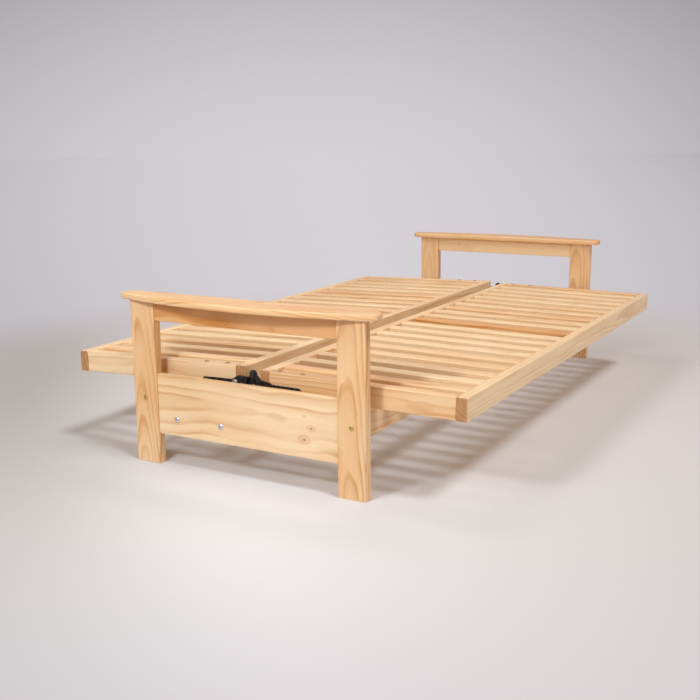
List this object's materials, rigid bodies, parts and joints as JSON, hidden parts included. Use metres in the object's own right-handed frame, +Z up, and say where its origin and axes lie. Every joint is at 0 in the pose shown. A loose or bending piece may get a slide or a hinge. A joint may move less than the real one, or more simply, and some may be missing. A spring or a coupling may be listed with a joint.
{
  "type": "sofa bed",
  "caption": "Solid pine click-clack sofa bed frame, laid flat: slatted seat and back panels joined by steel hinges between two arms with bowed tops.",
  "frame": {"origin": "on the floor, under the middle of the crease between the two panels", "axes": "+X along the bed to the right arm, +Y to the back, +Z up"},
  "size_m": [2.146, 1.3333, 0.5153],
  "materials": {
    "pine": "clear satin lacquer",
    "pale_pine": "clear satin lacquer",
    "black_steel": "semi-gloss black",
    "zinc": "bright zinc plate",
    "brass": "satin yellow zinc"
  },
  "bodies": {
    "base": {"front_stretcher": "pine", "back_stretcher": "pine", "left_front_post": "pine", "left_back_post": "pine", "left_lower_board": "pine", "left_upper_rail": "pine", "left_arm_board": "pale_pine", "left_bracket": "black_steel", "left_pivot_pin": "zinc", "left_bracket_bolt_1": "zinc", "left_bracket_bolt_2": "zinc", "left_front_stretcher_bolt": "brass", "left_back_stretcher_bolt": "brass", "right_front_post": "pine", "right_back_post": "pine", "right_lower_board": "pine", "right_upper_rail": "pine", "right_arm_board": "pale_pine", "right_bracket": "black_steel", "right_pivot_pin": "zinc", "right_bracket_bolt_1": "zinc", "right_bracket_bolt_2": "zinc", "right_front_stretcher_bolt": "brass", "right_back_stretcher_bolt": "brass"},
    "back_frame": {"back_inner_rail": "pine", "back_outer_rail_with_slats": "pine", "back_left_end_rail": "pine", "back_right_end_rail": "pine", "back_centre_rail": "pine", "left_back_arm": "black_steel", "right_back_arm": "black_steel", "left_crease_pin": "black_steel", "right_crease_pin": "black_steel"},
    "seat_frame": {"seat_inner_rail": "pine", "seat_outer_rail": "pine", "seat_left_end_rail": "pine", "seat_right_end_rail": "pine", "seat_centre_rail": "pine", "seat_slat_01": "pale_pine", "seat_slat_02": "pale_pine", "seat_slat_03": "pale_pine", "seat_slat_04": "pale_pine", "seat_slat_05": "pale_pine", "seat_slat_06": "pale_pine", "seat_slat_07": "pale_pine", "seat_slat_08": "pale_pine", "seat_slat_09": "pale_pine", "seat_slat_10": "pale_pine", "seat_slat_11": "pale_pine", "seat_slat_12": "pale_pine", "seat_slat_13": "pale_pine", "seat_slat_14": "pale_pine", "seat_slat_15": "pale_pine", "seat_slat_16": "pale_pine", "seat_slat_17": "pale_pine", "seat_slat_18": "pale_pine", "left_seat_arm": "black_steel", "right_seat_arm": "black_steel"},
    "left_pawl": {"left_pawl": "black_steel"},
    "right_pawl": {"right_pawl": "black_steel"}
  },
  "joints": [
    {"name": "back_pivot", "type": "hinge", "parent": "base", "child": "back_frame", "pos_m": [0, 0.0545, 0.27], "axis": [1, 0, 0], "range_deg": [0, 65]},
    {"name": "crease_hinge", "type": "hinge", "parent": "back_frame", "child": "seat_frame", "pos_m": [0, -0.0055, 0.299], "axis": [1, 0, 0], "range_deg": [-77.7, 0]},
    {"name": "left_pawl_pin", "type": "hinge", "parent": "seat_frame", "child": "left_pawl", "pos_m": [-0.9518, -0.0272, 0.27686], "axis": [1, 0, 0], "range_deg": [0, 15], "stiffness_Nm_per_rad": 0.2, "springref_deg": -11.46},
    {"name": "right_pawl_pin", "type": "hinge", "parent": "seat_frame", "child": "right_pawl", "pos_m": [0.9518, -0.0272, 0.27686], "axis": [1, 0, 0], "range_deg": [0, 15], "stiffness_Nm_per_rad": 0.2, "springref_deg": -11.46}
  ],
  "couplings": [
    {"joint": "crease_hinge", "follows": "back_pivot", "ratio": -1.195}
  ]
}
